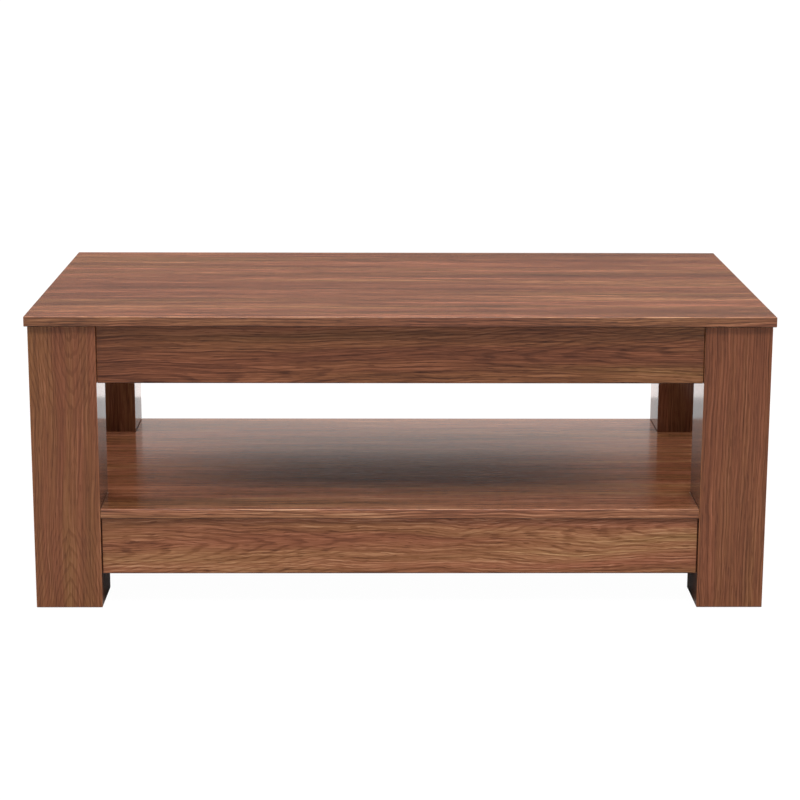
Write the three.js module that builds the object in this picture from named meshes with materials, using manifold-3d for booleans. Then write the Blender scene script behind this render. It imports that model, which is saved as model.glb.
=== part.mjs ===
// A lift-top coffee table made of 15 mm faced boards: four hollow posts, a frame of aprons with a
// storage compartment under the top, an open shelf on a frame of rails, and a pair of sprung
// parallel-arm lift hinges that carry the top up and forwards while it stays level.
//
// Millimetres, +Z up, +X to the right of someone sitting at the table, -Y towards them.
// The origin is the centre of the footprint, at floor level. The top is shown closed.
import * as THREE from "three";
import Module from "manifold-3d";
import { mergeVertices } from "three/addons/utils/BufferGeometryUtils.js";

// ---- Driving dimensions: the furniture ----
const TOP_LENGTH = 1100;
const TOP_DEPTH = 610;
const HEIGHT = 448;
const BOARD = 15; // every faced board
const POST = 99; // outside width of the square hollow posts
const TOP_OVERHANG_ENDS = 4; // top beyond the posts, left and right
const TOP_OVERHANG_FACES = 8; // top beyond the posts, front and back
const APRON_HEIGHT = 86;
const APRON_SETBACK = 8; // aprons and rails behind the outside of the posts
const RAIL_HEIGHT = 87;
const SHELF_TOP = 155; // height of the shelf's upper face
const SHELF_SETBACK = 1; // shelf edge behind the outside of the posts
const FLOOR_BOARD = 12; // compartment floor
const FLOOR_RISE = 2; // compartment floor above the lower edge of the aprons
const TOP_GAP = 1.5; // closed top above the posts and aprons
const SEAM = 0.2; // gap between neighbouring boards

// ---- Driving dimensions: small parts of the posts ----
const GLIDE_HEIGHT = 2;
const GLIDE_RADIUS = 14;
const FOOT_BLOCK = 40; // height of the block that closes a post at the floor
const CAP = 12; // thickness of the plate that closes a post at the top
const PLUG_GAP = 0.25; // blocks and caps inside a post
const BUMPER_RADIUS = 5;
const BUMPER_CLEARANCE = 0.25; // closed top above its bumpers

// ---- Driving dimensions: the lift hinges ----
const STEEL = 2.5; // bracket sheet
const ARM_STEEL = 3;
const ARM_WIDTH = 16;
const ARM_EYE = 9; // radius of the round ends of an arm
const ARM_SIDE_GAP = 1.5; // between the two arms when they lie side by side
const CRANK = 20; // from the rear arm's lower pivot to its spring post
const CRANK_EYE = 6;
const PIVOT_RADIUS = 4;
const PIVOT_CLEARANCE = 0.3; // radial, in every hole on a pivot
const HEAD_RADIUS = 6.5;
const HEAD_HEIGHT = 1.6;
const PLAY = 0.8; // between plates that turn on one another
const FIT = 0.3; // between pieces that are fastened together
const TURN_GAP = 1.5; // round the moving eyes
const FRONT_SET = 35; // front lower pivot behind the front posts
const REAR_SET = 14; // rear upper pivot in front of the rear posts
const LIFT_SWING = 110; // degrees that the arms turn
const FOOT_FLANGE = 24; // base bracket's flange on the compartment floor
const TOP_FLANGE = 24; // top bracket's flange under the top
const BRACKET_END = 12; // bracket beyond its last pivot
const SPRING_RADIUS = 7;
const SPRING_POST_RADIUS = 3;
const SPRING_HOOK = 5.5; // from a spring post to the body of the spring
const SCREW_HOLE_RADIUS = 2.3;
const SCREW_EDGE = 16; // first screw from the end of a bracket
const SCREWS = 4; // along each bracket flange

// ---- Levels and planes that follow from them ----
const underside = HEIGHT - BOARD;
const postTop = underside - TOP_GAP;
const apronBottom = postTop - APRON_HEIGHT;
const floorBottom = apronBottom + FLOOR_RISE;
const floorTop = floorBottom + FLOOR_BOARD;
const shelfBottom = SHELF_TOP - BOARD;
const railTop = shelfBottom - SEAM;
const railBottom = railTop - RAIL_HEIGHT;

const postOutX = TOP_LENGTH / 2 - TOP_OVERHANG_ENDS;
const postOutY = TOP_DEPTH / 2 - TOP_OVERHANG_FACES;
const postInX = postOutX - POST;
const postInY = postOutY - POST;
const apronOutX = postOutX - APRON_SETBACK;
const apronOutY = postOutY - APRON_SETBACK;
const apronInX = apronOutX - BOARD;
const apronInY = apronOutY - BOARD;

// ---- The lift hinge, worked out from the pocket between the posts ----
// Planes across the table, from the apron inwards, as distances from the centre.
const plateOut = apronInX - FIT;
const plateIn = plateOut - STEEL;
const armOut = plateIn - PLAY;
const armIn = armOut - ARM_STEEL;
const flangeOut = armIn - PLAY;
const flangeIn = flangeOut - STEEL;
const springX = flangeIn - FIT - SPRING_RADIUS;
const postEndX = springX - SPRING_POST_RADIUS - HEAD_HEIGHT;

// Heights of the pivots: the upper ones under the top bracket, the lower ones clear of the floor.
const topPlateLow = underside - FIT - STEEL;
const footPlateTop = floorTop + FIT + STEEL;
const upperPivotZ = topPlateLow - TURN_GAP - ARM_EYE;
const lowerPivotZ = footPlateTop + TURN_GAP + CRANK_EYE + CRANK;
const pivotRise = upperPivotZ - lowerPivotZ;

// Closed, the arms lie side by side, so their pivots are sideBySide * armLength apart. That and the
// arm's own length fill the pocket: sqrt(arm^2 - rise^2) + sideBySide * arm = reach.
const reach = 2 * postInY - FRONT_SET - REAR_SET;
const sideBySide = (2 * ARM_EYE + ARM_SIDE_GAP) / pivotRise;
const quadA = sideBySide ** 2 - 1;
const quadB = -2 * reach * sideBySide;
const quadC = reach ** 2 + pivotRise ** 2;
const armLength = (-quadB - Math.sqrt(quadB ** 2 - 4 * quadA * quadC)) / (2 * quadA);
const restAngle = Math.asin(pivotRise / armLength);
const pivotSpacing = sideBySide * armLength;
const armReach = armLength * Math.cos(restAngle);
const lowerPivotsY = [FRONT_SET - postInY, FRONT_SET - postInY + pivotSpacing];
const upperPivotsY = lowerPivotsY.map((y) => y + armReach);

// The spring pulls the rear arm's crank backwards. The crank swings as far past straight down as it
// starts before it, so both ends of its travel are on one level line with the fixed spring post.
const crankAngle = THREE.MathUtils.degToRad(270 - LIFT_SWING / 2);
const crankY = lowerPivotsY[1] + CRANK * Math.cos(crankAngle);
const crankZ = lowerPivotZ + CRANK * Math.sin(crankAngle);
const springPostY = postInY - BRACKET_END;
const bracketBackY = postInY - 2;
const bracketFrontY = lowerPivotsY[0] - BRACKET_END;
const basePlateTop = lowerPivotZ + BRACKET_END;

// ---- Materials ----
function material(color, roughness, metalness) {
  return new THREE.MeshStandardMaterial({ color, roughness, metalness });
}
const WALNUT = material(0x7d4f3b, 0.42, 0);
const RAW_BLOCK = material(0xb79a76, 0.8, 0);
const STEEL_PLATE = material(0xb9bcc0, 0.38, 0.9);
const BLACK_STEEL = material(0x2b2c2e, 0.5, 0.6);
const SPRING_STEEL = material(0x8c9096, 0.35, 0.95);
const NYLON = material(0x2a2421, 0.6, 0);
const CLEAR_PAD = material(0xd9dcd8, 0.3, 0);

// ---- Building blocks ----
const wasm = await Module();
wasm.setup();

function toSolid(geometry) {
  const bare = geometry.clone();
  bare.deleteAttribute("normal");
  bare.deleteAttribute("uv");
  const merged = mergeVertices(bare, 1e-4);
  return new wasm.Manifold(
    new wasm.Mesh({
      numProp: 3,
      vertProperties: new Float32Array(merged.getAttribute("position").array),
      triVerts: new Uint32Array(merged.getIndex().array),
    }),
  );
}

function toGeometry(solid) {
  const { vertProperties, triVerts } = solid.getMesh();
  const geometry = new THREE.BufferGeometry();
  geometry.setAttribute("position", new THREE.BufferAttribute(vertProperties, 3));
  geometry.setIndex(new THREE.BufferAttribute(triVerts, 1));
  geometry.computeVertexNormals();
  return geometry;
}

// A box from its lowest to its highest corner.
function block([x0, y0, z0], [x1, y1, z1]) {
  const geometry = new THREE.BoxGeometry(x1 - x0, y1 - y0, z1 - z0);
  return geometry.translate((x0 + x1) / 2, (y0 + y1) / 2, (z0 + z1) / 2);
}

// A rod, head or hole along X, between two values of x.
function rodAlongX(radius, [x0, x1], y, z, sides = 20) {
  const geometry = new THREE.CylinderGeometry(radius, radius, Math.abs(x1 - x0), sides);
  return geometry.rotateZ(Math.PI / 2).translate((x0 + x1) / 2, y, z);
}

function rodAlongZ(radius, [z0, z1], x, y, sides = 16) {
  const geometry = new THREE.CylinderGeometry(radius, radius, z1 - z0, sides);
  return geometry.rotateX(Math.PI / 2).translate(x, y, (z0 + z1) / 2);
}

function join(...geometries) {
  return toGeometry(geometries.map(toSolid).reduce((a, b) => a.add(b)));
}

function cut(geometry, ...tools) {
  return toGeometry(tools.map(toSolid).reduce((a, b) => a.subtract(b), toSolid(geometry)));
}

const table = new THREE.Group();

function add(name, geometry, look, place = [0, 0, 0]) {
  const mesh = new THREE.Mesh(geometry, look);
  mesh.name = name;
  mesh.position.set(...place);
  table.add(mesh);
}

// Left is -X and front is -Y.
const ENDS = [
  ["left", -1],
  ["right", 1],
];
const FACES = [
  ["front", -1],
  ["back", 1],
];
const CORNERS = FACES.flatMap(([face, fy]) => ENDS.map(([end, ex]) => [`${face}_${end}`, ex, fy]));

// ---- Top ----
function liftTop() {
  const half = [TOP_LENGTH / 2, TOP_DEPTH / 2];
  add("lift_top", block([-half[0], -half[1], underside], [half[0], half[1], HEIGHT]), WALNUT);
}

// ---- Posts: a folded-board tube, a foot block with its glide, a cap plate with its bumper ----
function post(corner, ex, fy) {
  const place = [ex * (postOutX - POST / 2), fy * (postOutY - POST / 2), 0];
  const half = POST / 2;
  const bore = half - BOARD;
  const plug = bore - PLUG_GAP;
  const tube = cut(
    block([-half, -half, GLIDE_HEIGHT], [half, half, postTop]),
    block([-bore, -bore, GLIDE_HEIGHT - 1], [bore, bore, postTop + 1]),
  );
  add(`post_${corner}`, tube, WALNUT, place);

  const blockTop = GLIDE_HEIGHT + FOOT_BLOCK;
  const foot = block([-plug, -plug, GLIDE_HEIGHT], [plug, plug, blockTop]);
  add(`foot_block_${corner}`, foot, RAW_BLOCK, place);
  const glide = rodAlongZ(GLIDE_RADIUS, [0, GLIDE_HEIGHT - SEAM], 0, 0, 32);
  add(`glide_${corner}`, glide, NYLON, place);

  add(`post_cap_${corner}`, block([-plug, -plug, postTop - CAP], [plug, plug, postTop]), WALNUT, place);
  const pad = [postTop + SEAM, underside - BUMPER_CLEARANCE];
  add(`bumper_${corner}`, rodAlongZ(BUMPER_RADIUS, pad, 0, 0), CLEAR_PAD, place);
}

// ---- Frames of four boards between the posts: aprons above, rails below ----
function frameOfBoards(prefix, low, high) {
  const endX = postInX - SEAM;
  const endY = postInY - SEAM;
  for (const [face, fy] of FACES) {
    const y = [fy * apronOutY, fy * apronInY].sort((a, b) => a - b);
    add(`${prefix}_${face}`, block([-endX, y[0], low], [endX, y[1], high]), WALNUT);
  }
  for (const [end, ex] of ENDS) {
    const x = [ex * apronOutX, ex * apronInX].sort((a, b) => a - b);
    add(`${prefix}_${end}`, block([x[0], -endY, low], [x[1], endY, high]), WALNUT);
  }
}

// ---- Flat boards notched round the posts ----
function notchedBoard(halfX, halfY, low, high) {
  const notches = CORNERS.map(([, ex, fy]) => {
    const x = [ex * (postInX - SEAM), ex * (halfX + 1)].sort((a, b) => a - b);
    const y = [fy * (postInY - SEAM), fy * (halfY + 1)].sort((a, b) => a - b);
    return block([x[0], y[0], low - 1], [x[1], y[1], high + 1]);
  });
  return cut(block([-halfX, -halfY, low], [halfX, halfY, high]), ...notches);
}

function compartmentFloor() {
  const board = notchedBoard(apronInX - SEAM, apronInY - SEAM, floorBottom, floorTop);
  add("compartment_floor", board, WALNUT);
}

function shelf() {
  const halfX = postOutX - SHELF_SETBACK;
  const halfY = postOutY - SHELF_SETBACK;
  add("shelf", notchedBoard(halfX, halfY, shelfBottom, SHELF_TOP), WALNUT);
}

// ---- Lift hinges: the shapes of the right one, mirrored for the left ----
function mirrored(geometry, ex) {
  if (ex > 0) return geometry;
  return toGeometry(toSolid(geometry).mirror([1, 0, 0]));
}

// Places of the screws along a flange.
function screwRow(y0, y1) {
  const step = (y1 - y0 - 2 * SCREW_EDGE) / (SCREWS - 1);
  return Array.from({ length: SCREWS }, (_, i) => y0 + SCREW_EDGE + i * step);
}

function baseBracket() {
  const inner = plateOut - FOOT_FLANGE;
  const foot = floorTop + FIT;
  const angle = join(
    block([plateIn, bracketFrontY, foot], [plateOut, bracketBackY, basePlateTop]),
    block([inner, bracketFrontY, foot], [plateOut, bracketBackY, footPlateTop]),
  );
  const through = [plateIn - 1, plateOut + 1];
  const holes = [
    ...lowerPivotsY.map((y) => rodAlongX(PIVOT_RADIUS + PIVOT_CLEARANCE, through, y, lowerPivotZ)),
    rodAlongX(SPRING_POST_RADIUS + PIVOT_CLEARANCE, through, springPostY, crankZ, 16),
    ...screwRow(bracketFrontY, bracketBackY).map((y) =>
      rodAlongZ(SCREW_HOLE_RADIUS, [foot - 1, footPlateTop + 1], inner + FOOT_FLANGE / 3, y, 12),
    ),
  ];
  return cut(angle, ...holes);
}

function topBracket() {
  const y = [upperPivotsY[0] - BRACKET_END, upperPivotsY[1] + BRACKET_END];
  const inner = flangeOut - TOP_FLANGE;
  const low = upperPivotZ - BRACKET_END;
  const angle = join(
    block([flangeIn, y[0], low], [flangeOut, y[1], underside - FIT]),
    block([inner, y[0], topPlateLow], [flangeOut, y[1], underside - FIT]),
  );
  const holes = [
    ...upperPivotsY.map((at) =>
      rodAlongX(PIVOT_RADIUS + PIVOT_CLEARANCE, [flangeIn - 1, flangeOut + 1], at, upperPivotZ),
    ),
    ...screwRow(...y).map((at) =>
      rodAlongZ(SCREW_HOLE_RADIUS, [topPlateLow - 1, underside], inner + TOP_FLANGE / 3, at, 12),
    ),
  ];
  return cut(angle, ...holes);
}

// A flat bar with round ends, from the lower pivot to the upper one, in the closed position.
function armBar(lowerY) {
  const upperY = lowerY + armReach;
  const across = [armIn, armOut];
  const middle = block(
    [armIn, 0, -ARM_WIDTH / 2],
    [armOut, armLength, ARM_WIDTH / 2],
  ).rotateX(restAngle);
  return join(
    middle.translate(0, lowerY, lowerPivotZ),
    rodAlongX(ARM_EYE, across, lowerY, lowerPivotZ, 28),
    rodAlongX(ARM_EYE, across, upperY, upperPivotZ, 28),
  );
}

function pivotHoles(lowerY) {
  const through = [armIn - 1, armOut + 1];
  const radius = PIVOT_RADIUS + PIVOT_CLEARANCE;
  return [
    rodAlongX(radius, through, lowerY, lowerPivotZ),
    rodAlongX(radius, through, lowerY + armReach, upperPivotZ),
  ];
}

function frontArm() {
  return cut(armBar(lowerPivotsY[0]), ...pivotHoles(lowerPivotsY[0]));
}

// The rear arm carries the crank that the spring pulls.
function rearArm() {
  const lowerY = lowerPivotsY[1];
  const web = block([armIn, 0, -CRANK_EYE], [armOut, CRANK, CRANK_EYE]).rotateX(crankAngle);
  const bar = join(
    armBar(lowerY),
    web.translate(0, lowerY, lowerPivotZ),
    rodAlongX(CRANK_EYE, [armIn, armOut], crankY, crankZ),
  );
  const postHole = rodAlongX(
    SPRING_POST_RADIUS + PIVOT_CLEARANCE,
    [armIn - 1, armOut + 1],
    crankY,
    crankZ,
    16,
  );
  return cut(bar, ...pivotHoles(lowerY), postHole);
}

// A rivet along X: a shank, and a head at one or both ends.
function rivet(radius, head, [x0, x1], heads, y, z) {
  const parts = [rodAlongX(radius, [x0, x1], y, z)];
  if (heads.inner) parts.push(rodAlongX(head, [x0, x0 + HEAD_HEIGHT], y, z));
  if (heads.outer) parts.push(rodAlongX(head, [x1 - HEAD_HEIGHT, x1], y, z));
  return join(...parts);
}

// Riveted to the base plate and flush with its outer face; the head holds the arm on.
function lowerPivot(y) {
  const span = [armIn - FIT - HEAD_HEIGHT, plateOut];
  return rivet(PIVOT_RADIUS, HEAD_RADIUS, span, { inner: true }, y, lowerPivotZ);
}

// Through the top bracket's flange and the arm, with a head at each end.
function upperPivot(y) {
  const span = [flangeIn - FIT - HEAD_HEIGHT, armOut + FIT + HEAD_HEIGHT];
  return rivet(PIVOT_RADIUS, HEAD_RADIUS, span, { inner: true, outer: true }, y, upperPivotZ);
}

function springPost(outerX, y) {
  const head = SPRING_POST_RADIUS + HEAD_HEIGHT;
  return rivet(SPRING_POST_RADIUS, head, [postEndX, outerX], { inner: true }, y, crankZ);
}

// The body of the coil, between its two hooks.
function springBody() {
  const ends = [crankY + SPRING_HOOK, springPostY - SPRING_HOOK];
  const geometry = new THREE.CylinderGeometry(SPRING_RADIUS, SPRING_RADIUS, ends[1] - ends[0], 24);
  return geometry.translate(springX, (ends[0] + ends[1]) / 2, crankZ);
}

function liftHinge(end, ex) {
  const put = (name, geometry, look) => add(`${name}_${end}`, mirrored(geometry, ex), look);
  put("base_bracket", baseBracket(), BLACK_STEEL);
  put("top_bracket", topBracket(), BLACK_STEEL);
  put("arm_front", frontArm(), BLACK_STEEL);
  put("arm_rear", rearArm(), BLACK_STEEL);
  FACES.forEach(([face], i) => {
    put(`lower_pivot_${face}`, lowerPivot(lowerPivotsY[i]), STEEL_PLATE);
    put(`upper_pivot_${face}`, upperPivot(upperPivotsY[i]), STEEL_PLATE);
  });
  put("spring_post", springPost(plateOut, springPostY), STEEL_PLATE);
  put("crank_post", springPost(armOut, crankY), STEEL_PLATE);
  put("spring", springBody(), SPRING_STEEL);
}

liftTop();
CORNERS.forEach((corner) => post(...corner));
frameOfBoards("apron", apronBottom, postTop);
frameOfBoards("rail", railBottom, railTop);
compartmentFloor();
shelf();
ENDS.forEach((end) => liftHinge(...end));

export default table;
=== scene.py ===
# %% [markdown]
# # A lift-top coffee table in walnut-print board
#
# The table is flat-pack furniture: 15 mm particle board faced with printed melamine, four hollow
# posts folded from the same board, and a pair of bought-in steel lift hinges under the top. The
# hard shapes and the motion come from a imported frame. What is made here is what the eye judges:
# the printed grain and its pores, the eased and banded edges, the steel, the springs and screws.

# %% Load the frame
import bmesh
import bpy
import math
from mathutils import Matrix, Vector


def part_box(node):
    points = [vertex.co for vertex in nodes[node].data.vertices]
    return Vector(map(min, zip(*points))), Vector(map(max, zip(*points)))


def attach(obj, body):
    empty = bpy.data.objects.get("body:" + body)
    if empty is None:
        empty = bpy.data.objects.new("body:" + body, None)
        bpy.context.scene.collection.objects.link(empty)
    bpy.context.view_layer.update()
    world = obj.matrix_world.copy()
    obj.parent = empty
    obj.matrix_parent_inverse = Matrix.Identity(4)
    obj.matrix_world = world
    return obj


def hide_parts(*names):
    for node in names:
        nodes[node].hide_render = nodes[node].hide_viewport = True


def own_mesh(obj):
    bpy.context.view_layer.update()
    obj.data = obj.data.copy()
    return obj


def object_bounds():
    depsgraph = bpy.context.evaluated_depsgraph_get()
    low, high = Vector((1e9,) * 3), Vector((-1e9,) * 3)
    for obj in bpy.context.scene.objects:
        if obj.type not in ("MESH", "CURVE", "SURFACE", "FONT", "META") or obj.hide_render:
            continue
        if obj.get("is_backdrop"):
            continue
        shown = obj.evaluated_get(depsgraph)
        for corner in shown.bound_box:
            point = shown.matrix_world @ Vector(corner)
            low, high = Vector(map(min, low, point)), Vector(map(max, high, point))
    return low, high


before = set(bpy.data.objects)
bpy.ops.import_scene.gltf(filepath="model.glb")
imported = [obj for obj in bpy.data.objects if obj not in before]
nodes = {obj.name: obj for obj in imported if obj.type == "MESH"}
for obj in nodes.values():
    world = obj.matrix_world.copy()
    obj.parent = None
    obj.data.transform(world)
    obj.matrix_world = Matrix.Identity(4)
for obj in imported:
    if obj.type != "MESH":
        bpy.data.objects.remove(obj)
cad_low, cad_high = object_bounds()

MM = 0.001
print("frame:", len(nodes), "nodes,", round(cad_high.x - cad_low.x, 3), "m long")

# %% [markdown]
# ## The camera
#
# The table is seen almost square on, by a long lens from a little above. A long lens keeps the
# posts nearly parallel, so the camera is described by where it stands and by three small turns.

# %% Set up the camera
CAMERA_PLACE = Vector((-0.040, -3.398, 1.024))
LOOK_DOWN = math.radians(12.75)
LOOK_RIGHT = math.radians(0.72)
LEAN = math.radians(0.2)
SENSOR = 36.0
LENS = 97.1

forward = Vector((
    math.sin(LOOK_RIGHT) * math.cos(LOOK_DOWN),
    math.cos(LOOK_RIGHT) * math.cos(LOOK_DOWN),
    -math.sin(LOOK_DOWN),
))
level = Vector((math.cos(LOOK_RIGHT), -math.sin(LOOK_RIGHT), 0))
upright = level.cross(forward)
right = level * math.cos(LEAN) + upright * math.sin(LEAN)
up = upright * math.cos(LEAN) - level * math.sin(LEAN)

lens = bpy.data.cameras.new("camera")
lens.sensor_width = SENSOR
lens.lens = LENS
camera = bpy.data.objects.new("camera", lens)
camera.matrix_world = Matrix.Translation(CAMERA_PLACE) @ Matrix((right, up, -forward)).transposed().to_4x4()
bpy.context.scene.collection.objects.link(camera)
bpy.context.scene.camera = camera
print("camera: lens", LENS, "mm at", tuple(CAMERA_PLACE))

# %% [markdown]
# ## Colours and nodes
#
# Colours are chosen as the hex values that a screen shows, but Blender mixes light, so each one is
# turned to linear first. A second helper adds one shader node with its settings and its links,
# which keeps a long material readable.

# %% Two helpers
def linear(hex_colour):
    channels = [int(hex_colour[i : i + 2], 16) / 255 for i in (1, 3, 5)]
    low = [c / 12.92 if c <= 0.04045 else ((c + 0.055) / 1.055) ** 2.4 for c in channels]
    return (*low, 1.0)


def add(tree, kind, inputs=(), out=0, stops=(), **settings):
    """Adds a node with its settings, ramp stops and inputs, and returns one of its outputs."""
    node = tree.nodes.new("ShaderNode" + kind)
    for name, value in settings.items():
        setattr(node, name, value)
    for key, value in inputs.items() if isinstance(inputs, dict) else enumerate(inputs):
        if isinstance(value, bpy.types.NodeSocket):
            tree.links.new(value, node.inputs[key])
        else:
            node.inputs[key].default_value = value
    for i, (position, colour) in enumerate(stops):
        elements = node.color_ramp.elements
        element = elements[i] if i < 2 else elements.new(position)
        element.position = position
        element.color = linear(colour)
    return node.outputs[out] if node.outputs else node


def new_material(name):
    material = bpy.data.materials.new(name)
    material.use_nodes = True
    material.node_tree.nodes.clear()
    return material, material.node_tree


# %% [markdown]
# ## Light and floor
#
# A product studio. A tent of white cloth surrounds the table: its sides and back glow, its front
# is dimmer so the camera can work, and near the floor it stays dark, which keeps grey haze off the
# top. A softbox stands high in front and throws the apron's shadow on to the shelf, a weaker one
# stands low in front and lights the upright faces, and one stands at each side. Two strips of
# white card behind the table are what shines in the rear half of the shelf. What the camera sees
# round the table is plain white, so the tent itself is kept out of the view.

# %% Light the studio
def softbox(name, strength, softness, elevation, azimuth):
    """A far softbox. Azimuth 0 is the camera's side and 90 the table's right."""
    lamp = bpy.data.lights.new(name, "SUN")
    lamp.energy = strength
    lamp.angle = math.radians(softness)
    made = bpy.data.objects.new(name, lamp)
    made.rotation_euler = (math.radians(90 - elevation), 0, math.radians(azimuth))
    bpy.context.scene.collection.objects.link(made)


softbox("front_softbox", 2.05, softness=13, elevation=57, azimuth=0)
softbox("low_front_softbox", 1.1, softness=10, elevation=12, azimuth=0)
softbox("left_softbox", 2.3, softness=25, elevation=34, azimuth=-90)
softbox("right_softbox", 2.3, softness=25, elevation=34, azimuth=90)

CARD_WIDTH = 3.0  # metres
CARD_COLOUR = "#fff2ee"
CARD_BEHIND = 0.85  # metres from the table's back


def white_card(name, low, high, brightness):
    """A strip of glowing card behind the table, between two heights."""
    light = bpy.data.lights.new(name, "AREA")
    light.shape = "RECTANGLE"
    light.size = CARD_WIDTH
    light.size_y = high - low
    light.energy = brightness * math.pi * CARD_WIDTH * (high - low)
    light.color = linear(CARD_COLOUR)[:3]
    made = bpy.data.objects.new(name, light)
    made.location = (0, cad_high.y + CARD_BEHIND, (low + high) / 2)
    made.rotation_euler = (math.radians(-90), 0, 0)
    made.visible_camera = False
    bpy.context.scene.collection.objects.link(made)


white_card("white_card_low", 0.0, 0.38, brightness=1.05)
white_card("white_card_top", 0.38, 0.44, brightness=0.82)

# %% Put up the tent
TENT_GLOW = 2.5
TENT_FRONT = 0.27  # of the glow, on the camera's side
TENT_FLOOR = 0.03  # of the glow, near the floor
TENT_ROOF = 0.1  # of the glow, overhead


def sine(degrees):
    return math.sin(math.radians(degrees))


WALLS_RISE = sine(19), sine(28)  # between these elevations the cloth goes from dark to bright
ROOF_CLOSES = sine(55), sine(75)  # and between these it goes dim again
FRONT_ENDS = -0.6, 0.1  # how far back the dimmer front reaches, from -1 at the camera to 1

tent = bpy.data.worlds.new("tent")
tent.use_nodes = True
tree = tent.node_tree
tree.nodes.clear()
towards = add(tree, "SeparateXYZ", [add(tree, "TexCoord", out="Generated")]).node.outputs
rising = add(tree, "MapRange", {
    "Value": towards[2], "From Min": WALLS_RISE[0], "From Max": WALLS_RISE[1], "To Min": TENT_FLOOR,
})
closing = add(tree, "MapRange", {
    "Value": towards[2], "From Min": ROOF_CLOSES[0], "From Max": ROOF_CLOSES[1],
    "To Min": 1.0, "To Max": TENT_ROOF,
})
turning = add(tree, "MapRange", {
    "Value": towards[1], "From Min": FRONT_ENDS[0], "From Max": FRONT_ENDS[1], "To Min": TENT_FRONT,
})
glow = add(tree, "Math", (rising, turning), operation="MULTIPLY")
glow = add(tree, "Math", (glow, closing), operation="MULTIPLY")
glow = add(tree, "Math", (glow, TENT_GLOW), operation="MULTIPLY")
cloth = add(tree, "Background", (linear("#ffffff"), glow))
backdrop = add(tree, "Background", (linear("#ffffff"), 1.0))
shown = add(tree, "MixShader", (add(tree, "LightPath", out="Is Camera Ray"), cloth, backdrop))
add(tree, "OutputWorld", [shown])
bpy.context.scene.world = tent
bpy.context.scene.view_settings.view_transform = "Standard"

# %% Lay the floor
FLOOR_HALF = 60  # metres
WHITENESS = 0.98  # of the floor as the camera sees it, before the light falls on it
floor_paint, tree = new_material("matt_white_floor")
paper = add(tree, "BsdfDiffuse", [linear("#8a8a8a")])
faint = add(tree, "BsdfDiffuse", [linear("#323234")])
bright = add(tree, "AddShader", (faint, add(tree, "Emission", (linear("#ffffff"), WHITENESS))))
shown = add(tree, "MixShader", (add(tree, "LightPath", out="Is Camera Ray"), paper, bright))
add(tree, "OutputMaterial", [shown])
floor_mesh = bpy.data.meshes.new("floor")
floor_corners = [(-1, -1), (1, -1), (1, 1), (-1, 1)]
floor_mesh.from_pydata([(x * FLOOR_HALF, y * FLOOR_HALF, 0) for x, y in floor_corners], [], [range(4)])
floor = bpy.data.objects.new("floor", floor_mesh)
floor_mesh.materials.append(floor_paint)
bpy.context.scene.collection.objects.link(floor)
floor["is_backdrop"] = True

# %% [markdown]
# ## Walnut-print melamine
#
# The board is faced with paper printed with walnut, soaked in melamine and pressed hot, so it has
# the colours of walnut under a hard satin film, with shallow pressed pores. An image of wood would
# be the quick way; here the print is grown instead. Each face carries four vectors:
#
# - "grain": metres along and across the grain, and a number that makes a board unlike the others
# - "heart": where the middle of the printed log lies across the board, its slope and its taper
# - "tint": the tone, the share of olive and the contrast
# - "figure": how far the grain strays, how strong the rings are and how much the grain curls
#
# The distance from the heart, divided by the ring width, gives the growth rings: far from it they
# are straight lines, and where it crosses the board they close into the pointed arches that
# joiners call cathedrals. Real fibres and pores are too fine to show from where the camera stands,
# so the ones here are drawn several times coarser.

# %% Real sizes in the print
RING = 5 * MM  # between two growth rings
BAND = 800 * MM, 42 * MM  # long and wide: broad colours, as sapwood and heartwood mix
STREAK = 300 * MM, 3.4 * MM
VEIN = 250 * MM, 3 * MM  # crisp dark and pale lines
FIBRE = 90 * MM, 1.6 * MM
PORE = 20 * MM, 0.8 * MM
CURL = 20 * MM, 7 * MM  # the small waves of figured walnut
SLOW_STRAY, QUICK_STRAY = (600 * MM, 180 * MM), (120 * MM, 40 * MM)  # the grain's slow and quick bends
UNEVEN_RINGS = 250 * MM, 2 * RING
OLIVE_PATCH = 700 * MM, 30 * MM
HEART_DEPTH = 16 * MM  # of the log's middle under the face
PLAIN_MIDDLE = 90 * MM  # on either side of the middle of a board, the rings run straight
RING_STOPS = ((0.0, "#d0d0d0"), (0.6, "#c4c4c4"), (0.74, "#000000"), (0.9, "#000000"), (1.0, "#d0d0d0"))

# %% The strength of each pattern and the colours
BAND_WEIGHT, STREAK_WEIGHT, FIBRE_WEIGHT = 0.6, 0.4, 0.85  # of each, in the tone
QUICK_WEIGHT = 0.35  # of the quick bends, where the slow ones weigh 1
RING_WANDER = 1.5  # ring widths that an uneven ring may stray
OLIVE_SWING = 2.4
PORES = {"From Min": 0.62, "From Max": 0.68}  # only the peaks of the noise are pores
PORE_TONE, PORE_HEIGHT = -0.2, -0.6
DARK_VEINS = {"From Min": 0.55, "From Max": 0.61, "To Max": 0.06}
PALE_VEINS = {"From Min": 0.45, "From Max": 0.38, "To Max": 0.05}
RED_TONES = (
    (0.0, "#351a10"),
    (0.3, "#573222"),
    (0.5, "#6e412c"),
    (0.7, "#8a563e"),
    (1.0, "#b48568"),
)
OLIVE_TONES = (
    (0.0, "#2a1a0f"),
    (0.3, "#4b301d"),
    (0.5, "#684628"),
    (0.7, "#825f3c"),
    (1.0, "#ae8b60"),
)


# %% The print's pattern
def stretched_noise(tree, place, along, across, detail=2.0, roughness=0.5):
    """Noise whose features are that many metres long and wide."""
    scaled = add(tree, "VectorMath", (place, (1 / along, 1 / across, 1.0)), operation="MULTIPLY")
    return add(tree, "TexNoise", {"Vector": scaled, "Scale": 1.0, "Detail": detail, "Roughness": roughness})


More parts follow.
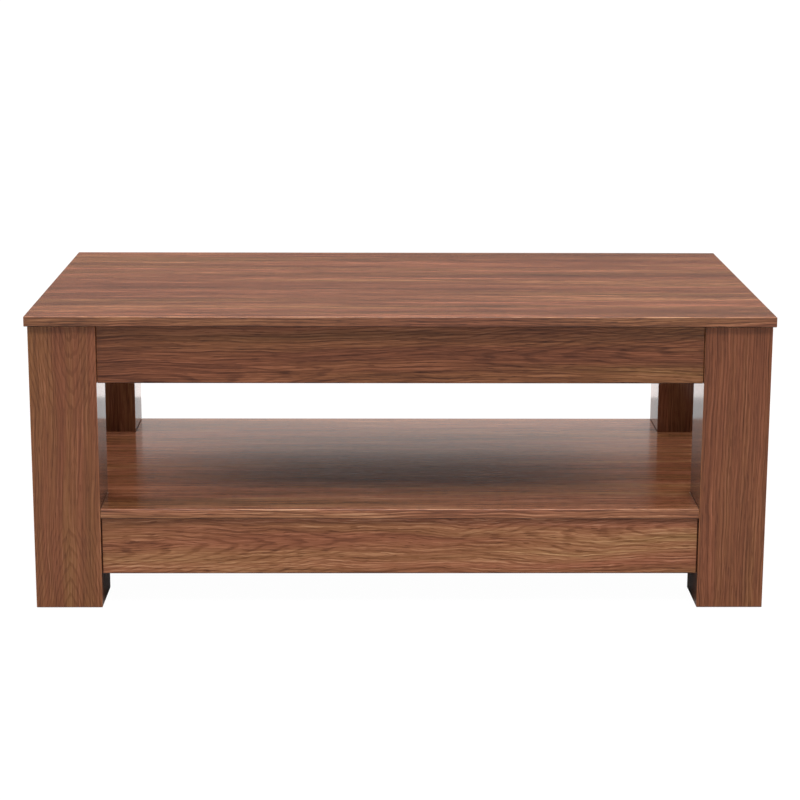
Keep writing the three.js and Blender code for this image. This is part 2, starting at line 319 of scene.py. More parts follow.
def swings(tree, *weighted):
    """The sum of signals that hover round a half, each less the half and times its weight."""
    total = 0.0
    for signal, weight in weighted:
        centred = add(tree, "Math", (signal, 0.5), operation="SUBTRACT")
        total = add(tree, "Math", (centred, weight, total), operation="MULTIPLY_ADD")
    return total


def board_vector(tree, name):
    """One of the vectors that the boards carry, and its three numbers."""
    vector = add(tree, "Attribute", out="Vector", attribute_name=name)
    return vector, add(tree, "SeparateXYZ", [vector]).node.outputs


def bend(tree, place, waviness, curl):
    """Moves places sideways, as the grain strays, ripples and curls."""
    slow = stretched_noise(tree, place, *SLOW_STRAY)
    quick = stretched_noise(tree, place, *QUICK_STRAY)
    stray = swings(tree, (slow, 1.0), (quick, QUICK_WEIGHT))
    shift = add(tree, "Math", (stray, waviness), operation="MULTIPLY")
    curled = swings(tree, (stretched_noise(tree, place, *CURL), curl))
    shift = add(tree, "Math", (shift, curled), operation="ADD")
    return add(tree, "VectorMath", (place, add(tree, "CombineXYZ", {1: shift})), operation="ADD")


def growth_rings(tree, bent, heart):
    """1 in the pale early wood and 0 in the dark late wood of each ring."""
    split = add(tree, "SeparateXYZ", [bent]).node.outputs
    line = add(tree, "Math", (split[0], heart[1], heart[0]), operation="MULTIPLY_ADD")
    aside = add(tree, "Math", (split[1], line), operation="SUBTRACT")
    spoke = add(tree, "CombineXYZ", {0: aside, 1: HEART_DEPTH})
    radius = add(tree, "VectorMath", [spoke], out="Value", operation="LENGTH")
    along = add(tree, "Math", [split[0]], operation="ABSOLUTE")
    along = add(tree, "Math", (along, PLAIN_MIDDLE), operation="SUBTRACT", use_clamp=True)
    radius = add(tree, "Math", (along, heart[2], radius), operation="MULTIPLY_ADD")
    uneven = stretched_noise(tree, bent, *UNEVEN_RINGS)
    radius = add(tree, "Math", (uneven, RING_WANDER * RING, radius), operation="MULTIPLY_ADD")
    turn = add(tree, "Math", [add(tree, "Math", (radius, RING), operation="DIVIDE")], operation="FRACT")
    return add(tree, "ValToRGB", [turn], stops=RING_STOPS)


def walnut_print(tree):
    """Returns the tone from 0, dark, to 1, pale, the share of olive, and the surface height."""
    place, _ = board_vector(tree, "grain")
    _, heart = board_vector(tree, "heart")
    _, tint = board_vector(tree, "tint")
    _, figure = board_vector(tree, "figure")
    bent = bend(tree, place, waviness=figure[0], curl=figure[2])

    fibres = stretched_noise(tree, bent, *FIBRE, detail=2.0, roughness=0.6)
    dashes = stretched_noise(tree, bent, *PORE, detail=0.0)
    pores = add(tree, "MapRange", {"Value": dashes, **PORES})
    height = add(tree, "Math", (pores, PORE_HEIGHT, fibres), operation="MULTIPLY_ADD")

    veins = stretched_noise(tree, bent, *VEIN, detail=1.0)
    dark_veins = add(tree, "MapRange", {"Value": veins, **DARK_VEINS})
    pale_veins = add(tree, "MapRange", {"Value": veins, **PALE_VEINS})
    veining = add(tree, "Math", (pale_veins, dark_veins), operation="SUBTRACT")

    lines = swings(
        tree,
        (stretched_noise(tree, bent, *BAND, detail=3.0, roughness=0.62), BAND_WEIGHT),
        (stretched_noise(tree, bent, *STREAK, detail=2.0, roughness=0.6), STREAK_WEIGHT),
        (fibres, FIBRE_WEIGHT),
        (growth_rings(tree, bent, heart), figure[1]),
    )
    lines = add(tree, "Math", (lines, veining), operation="ADD")
    lines = add(tree, "Math", (pores, PORE_TONE, lines), operation="MULTIPLY_ADD")
    tone = add(tree, "Math", (lines, tint[2], tint[0]), operation="MULTIPLY_ADD")
    mixing = swings(tree, (stretched_noise(tree, bent, *OLIVE_PATCH), OLIVE_SWING))
    olive = add(tree, "Math", (mixing, tint[1]), operation="ADD")
    return tone, olive, height


def walnut_melamine(name, roughness, specular, bump=0.25):
    material, tree = new_material(name)
    tone, olive, height = walnut_print(tree)
    red = add(tree, "ValToRGB", [tone], stops=RED_TONES)
    green = add(tree, "ValToRGB", [tone], stops=OLIVE_TONES)
    colour = add(tree, "Mix", {"Factor": olive, "A": red, "B": green}, out="Result", data_type="RGBA")
    normal = add(tree, "Bump", {"Height": height, "Strength": bump, "Distance": 0.05 * MM})
    shader = add(tree, "BsdfPrincipled", {
        "Base Color": colour,
        "Roughness": roughness,
        "IOR": 1.5,
        "Specular IOR Level": specular,
        "Normal": normal,
    })
    add(tree, "OutputMaterial", [shader])
    return material


TOP_MELAMINE = walnut_melamine("walnut_print_melamine_matt_top", roughness=0.27, specular=0.28)
BOARD_MELAMINE = walnut_melamine("walnut_print_melamine_satin", roughness=0.11, specular=0.22)
EDGE_BANDING = walnut_melamine("walnut_print_edge_banding", roughness=0.3, specular=0.3, bump=0.12)
print("walnut print:", RING / MM, "mm rings,", BAND[1] / MM, "mm bands")


# %% [markdown]
# ## The other finishes
#
# Particle board shows raw only at the ends of the posts: pale chips pressed in glue. The hinges
# are black powder-coated steel, the rivets and screws are zinc plated, and the springs are drawn
# wire. Powder coat has a fine orange-peel skin; zinc is bright with faint blotches. The grain of
# moulded plastic is drawn coarser than the real one, which is too fine to show.

# %% Particle board, steel, wire and plastics
CHIP = 3 * MM
ORANGE_PEEL = 1.2 * MM
MOULD_GRAIN = 0.6 * MM


def particle_board():
    material, tree = new_material("raw_particle_board")
    place = add(tree, "TexCoord", out="Object")
    chips = add(tree, "TexVoronoi", {"Vector": place, "Scale": 1 / CHIP}, out="Color")
    grey = add(tree, "SeparateColor", [chips])
    colour = add(tree, "ValToRGB", [grey], stops=((0.0, "#6c563f"), (0.5, "#8e7558"), (1.0, "#ab9170")))
    normal = add(tree, "Bump", {"Height": grey, "Strength": 0.5, "Distance": 0.2 * MM})
    shader = add(tree, "BsdfPrincipled", {
        "Base Color": colour, "Roughness": 0.85, "Specular IOR Level": 0.3, "Normal": normal,
    })
    add(tree, "OutputMaterial", [shader])
    return material


def powder_coat():
    material, tree = new_material("black_powder_coated_steel")
    place = add(tree, "TexCoord", out="Object")
    peel = add(tree, "TexNoise", {"Vector": place, "Scale": 1 / ORANGE_PEEL, "Detail": 2.0})
    shade = add(tree, "ValToRGB", [peel], stops=((0.3, "#1b1b1d"), (0.7, "#262628")))
    normal = add(tree, "Bump", {"Height": peel, "Strength": 0.35, "Distance": 0.03 * MM})
    shader = add(tree, "BsdfPrincipled", {
        "Base Color": shade, "Roughness": 0.42, "IOR": 1.5, "Normal": normal,
    })
    add(tree, "OutputMaterial", [shader])
    return material


def bright_steel(name, dark, pale, roughness, blotch_size):
    material, tree = new_material(name)
    place = add(tree, "TexCoord", out="Object")
    blotch = add(tree, "TexNoise", {"Vector": place, "Scale": 1 / blotch_size, "Detail": 3.0})
    colour = add(tree, "ValToRGB", [blotch], stops=((0.3, dark), (0.7, pale)))
    rough = add(tree, "MapRange", {"Value": blotch, "To Min": roughness * 0.8, "To Max": roughness * 1.2})
    shader = add(tree, "BsdfPrincipled", {"Base Color": colour, "Roughness": rough, "Metallic": 1.0})
    add(tree, "OutputMaterial", [shader])
    return material


def moulded_plastic(name, dark, pale, roughness, **more):
    material, tree = new_material(name)
    place = add(tree, "TexCoord", out="Object")
    skin = add(tree, "TexNoise", {"Vector": place, "Scale": 1 / MOULD_GRAIN, "Detail": 1.0})
    colour = add(tree, "ValToRGB", [skin], stops=((0.3, dark), (0.7, pale)))
    normal = add(tree, "Bump", {"Height": skin, "Strength": 0.2, "Distance": 0.02 * MM})
    shader = add(tree, "BsdfPrincipled", {
        "Base Color": colour, "Roughness": roughness, "IOR": 1.5, "Normal": normal, **more,
    })
    add(tree, "OutputMaterial", [shader])
    return material


PARTICLE_BOARD = particle_board()
POWDER_COAT = powder_coat()
ZINC = bright_steel("bright_zinc_plated_steel", "#a9adb1", "#d3d6d8", 0.3, blotch_size=2.5 * MM)
WIRE = bright_steel("drawn_spring_wire", "#6f7276", "#8f9296", 0.32, blotch_size=1.5 * MM)
NYLON = moulded_plastic("black_nylon", "#262322", "#2d2a28", 0.5)
WHITE_NYLON = moulded_plastic("natural_nylon", "#d3cfc2", "#dedbcf", 0.45)
BROWN_CAP = moulded_plastic("brown_polythene", "#633f30", "#704836", 0.4)
CLEAR_PAD = moulded_plastic("clear_polyurethane", "#e8ebe9", "#f2f4f2", 0.1, **{"Transmission Weight": 0.9})
print("materials:", [m.name for m in bpy.data.materials])


# %% [markdown]
# ## Faced boards
#
# A board's arrises are eased by the edge-banding machine, and that thin rounded line catches the
# light all along the front; its print is paler there, partly from the scraped banding and partly as
# a painted highlight of that line. Each piece starts from its CAD node's own shape, so it can't be
# the wrong size; the triangles are merged back into flat faces, the corners rounded, and each face
# told which way its grain runs. Faces get the melamine and edges get the banding, whose print is
# its own straight-grained strip. The rails' rounded edges lie in joints, and they and the rounded
# edges of other boards that face down are printed darker as painted shade.

# %% Start a piece from a CAD node
FLAT = math.radians(1)  # triangles that meet at less than this are one face
SHARP = math.radians(40)  # faces that meet at more than this have a corner to round
SAME_POINT = 1e-6


def shape_of(node, arris, segments=2):
    """A copy of a CAD node's shape with merged faces and rounded corners, as a bmesh."""
    shape = bmesh.new()
    shape.from_mesh(nodes[node].data)
    bmesh.ops.remove_doubles(shape, verts=shape.verts, dist=SAME_POINT)
    bmesh.ops.dissolve_limit(shape, angle_limit=FLAT, verts=shape.verts, edges=shape.edges)
    sharp = [e for e in shape.edges if e.is_manifold and e.calc_face_angle() > SHARP]
    bmesh.ops.bevel(
        shape, geom=sharp, offset=arris, segments=segments, profile=0.5,
        affect="EDGES", clamp_overlap=True,
    )
    return shape


def piece_from(shape, name, material, body, slot, *replaced):
    """Makes the object, rides it on its body, and hides the CAD nodes that it stands for."""
    mesh = bpy.data.meshes.new(name)
    shape.to_mesh(mesh)
    shape.free()
    mesh.shade_smooth()
    mesh.materials.append(material)
    piece = bpy.data.objects.new(name, mesh)
    bpy.context.scene.collection.objects.link(piece)
    weighted = piece.modifiers.new("flat_faces", "WEIGHTED_NORMAL")
    weighted.keep_sharp = True
    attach(piece, body)
    if replaced:
        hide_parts(*replaced)
    return piece


# %% Lay the print on a board
VECTORS = ("grain", "heart", "tint", "figure")
NO_CATHEDRAL = (0.35, 0.0, 0.01)  # a heart so far off that its rings are straight
SIDE_STEP = 1.9  # apart in the print, so no two faces of a board match
BOARD_STEP = 7.3
SQUARE_ON = 0.98  # a face whose normal lies less than this along any axis is a rounded edge
ARRIS_PALE_AND_HIGHLIGHT = 0.14  # paler print on the rounded edges: the banding is scraped thin there, and it is also a painted highlight of the line that catches the light
PAINTED_JOINT_SHADE = -0.5  # painted shade, printed on rounded edges that lie in a joint and on those that face down
FACES_DOWN = -0.2  # a rounded edge whose normal points lower than this faces down


def lay_grain(piece, along, number, heart, tint, figure, edge_material=None, eased_painted_light=ARRIS_PALE_AND_HIGHLIGHT):
    """Writes the board's vectors. along is the axis, 0 to 2, that the print runs along."""
    mesh = piece.data
    corners = [Vector(c) for c in piece.bound_box]
    centre = (corners[0] + corners[6]) / 2
    size = corners[6] - corners[0]
    thin = min(range(3), key=lambda axis: size[axis])
    for vector in VECTORS:
        mesh.attributes.new(vector, "FLOAT_VECTOR", "CORNER")
    grain, hearts, tints, figures = (mesh.attributes[vector].data for vector in VECTORS)
    if edge_material:
        mesh.materials.append(edge_material)
    for face in mesh.polygons:
        normal = face.normal
        facing = max(range(3), key=lambda axis: abs(normal[axis]))
        eased = abs(normal[facing]) < SQUARE_ON
        # rounded edges that face down get painted shade; the other rounded edges get the painted light
        # passed in: paler on most boards, painted shade on the rails
        if eased and normal.z < FACES_DOWN:
            tone = tint[0] + PAINTED_JOINT_SHADE
        elif eased:
            tone = tint[0] + eased_painted_light
        else:
            tone = tint[0]
        across = [axis for axis in range(3) if axis not in (facing, along)]
        if facing == along:
            lengthwise = max(across, key=lambda axis: size[axis])
            across.remove(lengthwise)
        else:
            lengthwise = along
        side = number * BOARD_STEP + SIDE_STEP * (2 * facing + (normal[facing] > 0))
        main = facing == thin or (edge_material is None and facing != along)
        if edge_material and facing != thin:
            face.material_index = 1
        for corner in face.loop_indices:
            point = mesh.vertices[mesh.loops[corner].vertex_index].co - centre
            grain[corner].vector = (point[lengthwise], point[across[0]], side)
            hearts[corner].vector = heart if main else NO_CATHEDRAL
            tints[corner].vector = (tone, tint[1], tint[2])
            figures[corner].vector = figure


# %% The flat boards
ARRIS = 1.1 * MM  # a little wider than a real one, so that its line shows
RAIL_ARRIS = 1.5 * MM  # wider still, so that its painted shade draws the dark line between a rail and a post
X_AXIS, Y_AXIS, Z_AXIS = 0, 1, 2
STRAIGHT = (0.4, 0.02, 0.01)  # a heart
QUIET, WAVY = (0.03, 0.22, 0.0005), (0.045, 0.22, 0.003)
# node: (grain axis, board number, heart, tint, figure)
BOARDS = {
    "lift_top": (X_AXIS, 1, STRAIGHT, (0.46, 0.15, 1.3), QUIET),
    "shelf": (X_AXIS, 2, STRAIGHT, (0.6, 0.2, 1.2), QUIET),
    "apron_front": (X_AXIS, 3, (-0.02, 0.06, -0.07), (0.45, 0.15, 1.0), QUIET),
    "apron_back": (X_AXIS, 4, (0.05, 0.08, 0.05), (0.5, 0.15, 1.0), WAVY),
    "apron_left": (Y_AXIS, 5, (0.08, 0.1, 0.06), (0.5, 0.15, 1.0), WAVY),
    "apron_right": (Y_AXIS, 6, (-0.06, 0.1, 0.05), (0.5, 0.15, 1.0), WAVY),
    "rail_front": (X_AXIS, 17, (0.01, 0.05, -0.1), (0.63, 0.25, 1.0), WAVY),
    "rail_back": (X_AXIS, 8, (0.07, -0.1, 0.06), (0.58, 0.25, 1.0), WAVY),
    "rail_left": (Y_AXIS, 9, (0.03, 0.12, 0.08), (0.55, 0.25, 1.0), WAVY),
    "rail_right": (Y_AXIS, 10, (-0.08, 0.1, 0.05), (0.55, 0.25, 1.0), WAVY),
    "compartment_floor": (X_AXIS, 11, STRAIGHT, (0.5, 0.15, 1.0), QUIET),
}

for node, (along, number, heart, tint, figure) in BOARDS.items():
    body = "lift_top" if node == "lift_top" else "base"
    face_material = TOP_MELAMINE if node == "lift_top" else BOARD_MELAMINE
    rail = node.startswith("rail")
    board = piece_from(
        shape_of(node, RAIL_ARRIS if rail else ARRIS, 3), node + "_board", face_material, body,
        "walnut_melamine", node,
    )
    # the rails' rounded edges get painted shade; other boards' get paler print with a painted highlight
    eased_painted_light = PAINTED_JOINT_SHADE if rail else ARRIS_PALE_AND_HIGHLIGHT
    lay_grain(board, along, number, heart, tint, figure, EDGE_BANDING, eased_painted_light)
print("boards:", len(BOARDS))

# %% [markdown]
# ## Posts
#
# A post is one faced board, grooved at its corners, folded round and glued, so the print runs up
# all four sides and the corners are crisp. Its ends show the raw core. A cap plate closes the top,
# and a block at the foot takes the glide.

# %% The posts, their caps and foot blocks
CORNERS = ("front_left", "front_right", "back_left", "back_right")
POST_ARRIS = 0.9 * MM
CALM = (0.03, 0.25, 0.0015)  # a figure
CAP_NUMBER = 10  # added to a post's board number for its cap
UPRIGHT = 0.9  # a face whose normal has more than this along z points up or down
# corner: (board number, heart, tint)
POST_PRINT = {
    "front_left": (21, (0.01, 0.02, -0.2), (0.49, 0.25, 0.6)),
    "front_right": (22, (0.2, 0.0, 0.01), (0.46, 0.1, 0.65)),
    "back_left": (23, (0.03, 0.1, -0.12), (0.48, 0.1, 0.7)),
    "back_right": (24, (-0.01, 0.08, 0.16), (0.48, 0.1, 0.7)),
}


def show_raw_ends(piece):
    """Puts raw board on the faces that point straight up or down."""
    piece.data.materials.append(PARTICLE_BOARD)
    raw = len(piece.data.materials) - 1
    for face in piece.data.polygons:
        if abs(face.normal.z) > UPRIGHT:
            face.material_index = raw


for corner in CORNERS:
    number, heart, tint = POST_PRINT[corner]
    post = piece_from(
        shape_of("post_" + corner, POST_ARRIS), f"post_{corner}_wrap", BOARD_MELAMINE,
        "base", "walnut_melamine", "post_" + corner,
    )
    lay_grain(post, Z_AXIS, number, heart, tint, CALM)
    show_raw_ends(post)

    cap = piece_from(
        shape_of("post_cap_" + corner, ARRIS), f"post_cap_{corner}_plate", BOARD_MELAMINE,
        "base", "walnut_melamine", "post_cap_" + corner,
    )
    lay_grain(cap, X_AXIS, number + CAP_NUMBER, STRAIGHT, tint, CALM, EDGE_BANDING)

    foot = nodes["foot_block_" + corner]
    foot.data.materials.clear()
    foot.data.materials.append(PARTICLE_BOARD)
print("posts:", len(CORNERS))


# %% [markdown]
# ## Turned pieces
#
# Rivets, spring posts, glides, bumpers and washers are all round, so each is a profile turned
# about an axis. A profile is a short list of radius and height pairs; rounded corners come from
# points on an arc.

# %% Turn a profile
def arc(centre_radius, centre_height, radius, start, end, steps=5):
    """Points on an arc of a profile, as (radius, height), between two angles in degrees."""
    angles = [math.radians(start + (end - start) * i / steps) for i in range(steps + 1)]
    return [
        (centre_radius + radius * math.cos(a), centre_height + radius * math.sin(a)) for a in angles
    ]


def turned(profile, place, axis, sides=40):
    """A bmesh of the profile turned about axis, with its zero height at place."""
    shape = bmesh.new()
    points = [shape.verts.new((radius, 0, height)) for radius, height in profile]
    edges = [shape.edges.new(pair) for pair in zip(points, points[1:])]
    bmesh.ops.spin(
        shape, geom=points + edges, cent=(0, 0, 0), axis=(0, 0, 1),
        angle=math.tau, steps=sides, use_duplicate=False,
    )
    bmesh.ops.remove_doubles(shape, verts=shape.verts, dist=SAME_POINT)
    bmesh.ops.recalc_face_normals(shape, faces=shape.faces)
    shape.transform(Matrix.Translation(place) @ Vector(axis).to_track_quat("Z", "Y").to_matrix().to_4x4())
    return shape


def middle(node):
    low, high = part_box(node)
    return (low + high) / 2


# %% Glides and bumpers
GLIDE_ROUNDING = 0.45  # of its thickness
NAIL_SINK, NAIL_RADIUS, NAIL_FLARE = 0.6 * MM, 3 * MM, 3.6 * MM
CRISP = 0.1 * MM  # the small chamfer of a moulded or pressed corner
PAD_EDGE = 0.25 * MM
DOME_FOOT = 0.25  # of the bumper's thickness, under the dome
DOME_POINTS = 0.4, 0.8, 1.2  # radians


def round_node(node):
    """The middle of the underside of an upright round node, its radius and its thickness."""
    low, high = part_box(node)
    place = Vector((middle(node).x, middle(node).y, low.z))
    return place, (high.x - low.x) / 2, high.z - low.z


for corner in CORNERS:
    place, radius, thick = round_node("glide_" + corner)
    edge = thick * GLIDE_ROUNDING
    profile = [(0, NAIL_SINK), (NAIL_RADIUS, NAIL_SINK), (NAIL_FLARE, 0)]
    profile += arc(radius - edge, edge, edge, -90, 0)
    profile += [(radius, thick - CRISP), (radius - CRISP, thick), (0, thick)]
    piece_from(
        turned(profile, place, (0, 0, 1)), f"glide_{corner}_disc", NYLON, "base", "nylon",
        "glide_" + corner,
    )

    place, radius, thick = round_node("bumper_" + corner)
    profile = [(0, 0), (radius, 0), (radius, PAD_EDGE)]
    profile += [
        (radius * math.cos(t), thick * (DOME_FOOT + (1 - DOME_FOOT) * math.sin(t))) for t in DOME_POINTS
    ]
    profile += [(0, thick)]
    piece_from(
        turned(profile, place, (0, 0, 1)), f"bumper_{corner}_dome", CLEAR_PAD, "base", "clear_pad",
        "bumper_" + corner,
    )
print("glides and bumpers:", 2 * len(CORNERS))

# %% [markdown]
# ## Lift hinges
#
# Each hinge is pressed from sheet: two angle brackets and two flat arms, powder coated after
# pressing, so every edge is slightly rounded and has the same skin. Rivets with domed heads hold
# the arms, and a nylon washer keeps each arm off its plate.

# %% Brackets and arms
ENDS = {"left": -1, "right": 1}
FACES = ("front", "back")
PRESSED_EDGE = 0.5 * MM

for end in ENDS:
    pressed = {
        f"base_bracket_{end}": "base",
        f"top_bracket_{end}": "lift_top",
        f"arm_front_{end}": f"arm_front_{end}",
        f"arm_rear_{end}": f"arm_rear_{end}",
    }
    for node, body in pressed.items():
        piece_from(shape_of(node, PRESSED_EDGE), node + "_steel", POWDER_COAT, body, "black_steel", node)


# %% Rivets, spring posts and washers
CROWN = 0.55  # of a head's thickness, rounded off
HEAD_POINTS = 0.5, 0.9, 1.25  # radians


def rivet_profile(length, shank, head, inner_head, outer_head):
    """Shank with domed heads, from the inner end at height zero."""
    crown = CROWN * inner_head
    dome = [(head * math.sin(t), crown * (1 - math.cos(t))) for t in HEAD_POINTS]
    profile = [(0, 0)] + dome
    profile += [(head, crown + CRISP), (head, inner_head), (shank, inner_head)]
    if outer_head:
        base = length - outer_head
        profile += [(shank, base), (head, base), (head, length - crown)]
        profile += [(radius, length - height) for radius, height in reversed(dome)]
    else:
        profile += [(shank, length)]
    return profile + [(0, length)]


HEAD = 1.6 * MM
PIVOT_SHANK, SPRING_SHANK = 4 * MM, 3 * MM  # radii
WASHER_RADIUS = 8 * MM
WASHER_THICK = 0.6 * MM
WASHER_PLAY = 0.4 * MM  # round the shank
WASHER_GAP = 0.1 * MM  # off the arm's face

for end, side in ENDS.items():
    arm_low, arm_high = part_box(f"arm_front_{end}")
    arm_faces = sorted((abs(arm_low.x), abs(arm_high.x)))
    turned_nodes = {
        f"spring_post_{end}": ("base", SPRING_SHANK),
        f"crank_post_{end}": (f"arm_rear_{end}", SPRING_SHANK),
    }
    for face in FACES:
        turned_nodes[f"lower_pivot_{face}_{end}"] = ("base", PIVOT_SHANK)
        turned_nodes[f"upper_pivot_{face}_{end}"] = ("lift_top", PIVOT_SHANK)
    for node, (body, shank) in turned_nodes.items():
        low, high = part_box(node)
        head = (high.z - low.z) / 2
        outer = HEAD if node.startswith("upper") else 0
        inner_x = side * min(abs(low.x), abs(high.x))
        place = Vector((inner_x, middle(node).y, middle(node).z))
        profile = rivet_profile(high.x - low.x, shank, head, HEAD, outer)
        piece_from(turned(profile, place, (side, 0, 0)), node + "_rivet", ZINC, body, "zinc_steel", node)
        if "pivot" not in node:
            continue
        if body == "base":
            gap_x = arm_faces[1] + WASHER_GAP
        else:
            gap_x = arm_faces[0] - WASHER_GAP - WASHER_THICK
        bore = shank + WASHER_PLAY
        ring = [(bore, 0), (WASHER_RADIUS, 0), (WASHER_RADIUS, WASHER_THICK)]
        ring += [(bore, WASHER_THICK), (bore, 0)]
        place = Vector((side * gap_x, middle(node).y, middle(node).z))
        piece_from(turned(ring, place, (side, 0, 0)), node + "_washer", WHITE_NYLON, body, "nylon")
    print(end, "hinge:", len(turned_nodes), "rivets and posts")


# %% [markdown]
# ## Springs
#
# An extension spring is wire wound into a coil, with an open loop at each end round a post. It is
# one tube swept along one path. The arm's crank pulls it out when the top is closed, and it closes
# up along its own line as the top rises.

# %% Sweep a wire
def swept(path, radius, sides=8):
    """A closed tube along a list of points, as a bmesh."""
    shape = bmesh.new()
    reference = Vector((0, 0, 1))
    rings = []
    for i, point in enumerate(path):
        ahead = path[min(i + 1, len(path) - 1)] - path[max(i - 1, 0)]
        ahead.normalize()
        reference = (reference - ahead * reference.dot(ahead)).normalized()
        beside = ahead.cross(reference)
        rings.append([
            shape.verts.new(point + radius * (
                reference * math.cos(math.tau * k / sides) + beside * math.sin(math.tau * k / sides)
            ))
            for k in range(sides)
        ])
    for a, b in zip(rings, rings[1:]):
        for k in range(sides):
            shape.faces.new((a[k], a[(k + 1) % sides], b[(k + 1) % sides], b[k]))
    shape.faces.new(list(reversed(rings[0])))
    shape.faces.new(rings[-1])
    bmesh.ops.recalc_face_normals(shape, faces=shape.faces)
    return shape


# %% Wind the springs
WIRE_RADIUS = 1.15 * MM
LOOP_WIDE = 4.6 * MM
LOOP_LONG = {"crank": 5.1 * MM, "anchor": 4.6 * MM}  # the crank's loop is drawn a little longer
LOOP_START, LOOP_SWEEP = 50, 300  # degrees
LOOP_STEPS = 14
TURNS = 56
STEPS_PER_TURN = 16
END_TURNS = 0.35, 12  # the first turn's share of the radius, and how fast the next ones widen


def loop(centre, towards, long):
    """Most of a circle round a post, in the plane of the spring's line."""
    angles = [math.radians(LOOP_START + LOOP_SWEEP * i / LOOP_STEPS) for i in range(LOOP_STEPS + 1)]
    return [
        centre + Vector((0, towards * long * math.cos(a), LOOP_WIDE * math.sin(a))) for a in angles
    ]


def coil(low, high, radius):
    """Turns of wire along y, between two corners, that narrow at both ends."""
    start, widening = END_TURNS
    steps = TURNS * STEPS_PER_TURN
    points = []
    for i in range(steps + 1):
        share = i / steps
        angle = math.tau * i / STEPS_PER_TURN
        reach = radius * min(1, start + widening * share, start + widening * (1 - share))
        y = low.y + (high.y - low.y) * share
        points.append(Vector(((low.x + high.x) / 2, y, (low.z + high.z) / 2)) + Vector(
            (reach * math.sin(angle), 0, reach * math.cos(angle))
        ))
    return points


for end in ENDS:
    low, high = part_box(f"spring_{end}")
    line = middle(f"spring_{end}")
    crank, anchor = middle(f"crank_post_{end}"), middle(f"spring_post_{end}")
    path = list(reversed(loop(Vector((line.x, crank.y, line.z)), 1, LOOP_LONG["crank"])))
    path += coil(low, high, (high.z - low.z) / 2 - WIRE_RADIUS)
    path += loop(Vector((line.x, anchor.y, line.z)), -1, LOOP_LONG["anchor"])
    spring = piece_from(
        swept(path, WIRE_RADIUS), f"spring_{end}_coil", WIRE, "base", "spring_steel", f"spring_{end}",
    )
    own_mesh(spring)


# %% [markdown]
# ## Screws and cam covers
#
# Pan-head screws with a cross recess hold the brackets. The boards are pulled together by cam
# locks, and on a made-up table all that shows of a cam is the brown cap pressed over it, on the
# inner face of each apron and rail.

# %% Screws in the brackets
BRACKET_SHEET = 2.5 * MM
SCREW_EDGE = 16 * MM
SCREWS = 4
SCREW_ROW = 1 / 3  # of the bracket's width, from its inner edge
SCREW_HEAD = 3.9 * MM
SCREW_HEIGHT = 1.9 * MM
SCREW_RIM = 0.35  # of the height, under the dome
SCREW_POINTS = 0.3, 0.6, 0.9, 1.2  # radians
SCREW_TURN, NEXT_TURN = 0.7, 1.9  # radians, of the first screw and from each to the next
SLOT_LENGTH, SLOT_WIDTH, SLOT_DEPTH = 4.4 * MM, 1.0 * MM, 1.1 * MM


def screw_head():
    """A domed head, and the cross to cut in it."""
    dome = [(0, SCREW_HEIGHT)]
    dome += [
        (SCREW_HEAD * math.sin(t), SCREW_HEIGHT * (SCREW_RIM + (1 - SCREW_RIM) * math.cos(t)))
        for t in SCREW_POINTS
    ]
    dome += [(SCREW_HEAD, SCREW_RIM * SCREW_HEIGHT), (SCREW_HEAD, 0), (0, 0)]
    shape = turned(dome, Vector(), (0, 0, 1), sides=24)
    cutter = bmesh.new()
    for length, width in ((SLOT_LENGTH, SLOT_WIDTH), (SLOT_WIDTH, SLOT_LENGTH)):
        made = bmesh.ops.create_cube(cutter, size=1)["verts"]
        bmesh.ops.scale(cutter, vec=(length, width, 2 * SLOT_DEPTH), verts=made)
        bmesh.ops.translate(cutter, vec=(0, 0, SCREW_HEIGHT), verts=made)
    return shape, cutter


def cut_cross(shape, cutter):
    """The head's mesh with the cross taken out of it."""
    made = []
    for part, label in ((shape, "head"), (cutter, "cutter")):
        mesh = bpy.data.meshes.new(label)
        part.to_mesh(mesh)
        part.free()
        made.append(bpy.data.objects.new(label, mesh))
        bpy.context.scene.collection.objects.link(made[-1])
    head, tool = made
    cross = head.modifiers.new("cross", "BOOLEAN")
    cross.operation = "DIFFERENCE"
    cross.object = tool
    cross.use_self = True
    bpy.context.view_layer.update()
    result = bpy.data.meshes.new_from_object(head.evaluated_get(bpy.context.evaluated_depsgraph_get()))
    for thing in made:
        bpy.data.objects.remove(thing)
    return result


SCREW_MESH = cut_cross(*screw_head())


def screws(name, places, axis, body):
    """A row of screws as one piece, each turned a little differently, as a hand leaves them."""
    shape = bmesh.new()
    facing = Vector(axis).to_track_quat("Z", "Y").to_matrix().to_4x4()
    for i, place in enumerate(places):
        single = SCREW_MESH.copy()
        turn = Matrix.Rotation(SCREW_TURN + NEXT_TURN * i, 4, "Z")
        single.transform(Matrix.Translation(place) @ facing @ turn)
        shape.from_mesh(single)
        bpy.data.meshes.remove(single)
    return piece_from(shape, name, ZINC, body, "zinc_steel")


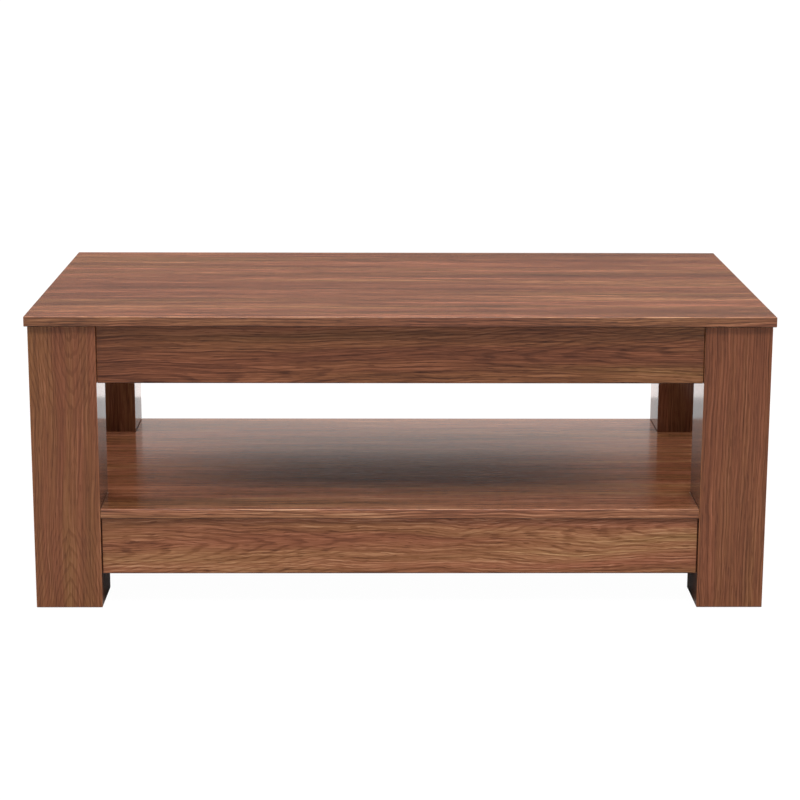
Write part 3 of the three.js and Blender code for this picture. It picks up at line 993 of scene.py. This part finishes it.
for end, side in ENDS.items():
    for bracket, body, axis in (("base_bracket", "base", 1), ("top_bracket", "lift_top", -1)):
        low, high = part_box(f"{bracket}_{end}")
        inner = side * min(abs(low.x), abs(high.x))
        row_x = inner + side * (high.x - low.x) * SCREW_ROW
        row_z = low.z + BRACKET_SHEET if axis > 0 else high.z - BRACKET_SHEET
        step = (high.y - low.y - 2 * SCREW_EDGE) / (SCREWS - 1)
        places = [Vector((row_x, low.y + SCREW_EDGE + i * step, row_z)) for i in range(SCREWS)]
        screws(f"{bracket}_{end}_screws", places, (0, 0, axis), body)

print("screws:", 2 * len(ENDS) * SCREWS)

# %% Caps over the cam locks
CAP_RADIUS = 8.5 * MM
CAP_THICK = 0.9 * MM
CAM_FROM_END = 34 * MM
LONG_BOARD_CAMS = 0.35, 0.75  # shares of the board's height
APRON_END_CAMS = (0.82,)
RAIL_END_CAMS = 0.28, 0.72
CAP_CURVE = ((0, 1), (0.7, 0.92), (0.92, 0.6))  # shares of its radius and thickness
cap_profile = [(CAP_RADIUS * across, CAP_THICK * up_to) for across, up_to in CAP_CURVE]
cap_profile += [(CAP_RADIUS, CRISP), (CAP_RADIUS, 0), (0, 0)]


def cam_caps(node, axis, inward, heights):
    """Caps at both ends of a board's inner face, at the given shares of its height."""
    low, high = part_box(node)
    along = Y_AXIS if axis == X_AXIS else X_AXIS
    shape = bmesh.new()
    for height in heights:
        for at in (low[along] + CAM_FROM_END, high[along] - CAM_FROM_END):
            place = Vector((0, 0, low.z + height * (high.z - low.z)))
            place[axis] = high[axis] if inward > 0 else low[axis]
            place[along] = at
            normal = Vector((0, 0, 0))
            normal[axis] = inward
            cap = turned(cap_profile, place, normal, sides=32)
            single = bpy.data.meshes.new("cap")
            cap.to_mesh(single)
            cap.free()
            shape.from_mesh(single)
            bpy.data.meshes.remove(single)
    piece_from(shape, node + "_cam_caps", BROWN_CAP, "base", "nylon")


for kind, end_cams in (("apron", APRON_END_CAMS), ("rail", RAIL_END_CAMS)):
    cam_caps(kind + "_front", Y_AXIS, 1, LONG_BOARD_CAMS)
    cam_caps(kind + "_back", Y_AXIS, -1, LONG_BOARD_CAMS)
    cam_caps(kind + "_left", X_AXIS, 1, end_cams)
    cam_caps(kind + "_right", X_AXIS, -1, end_cams)
print("caps over the cam locks: on 8 boards")

# %% [markdown]
# ## Finish
#
# The size of the made table, with all its pieces, is printed. The made pieces must stay
# inside the imported table's box.

# %% Write the sizes and close
low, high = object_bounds()
print("size:", [round(v, 4) for v in high - low])
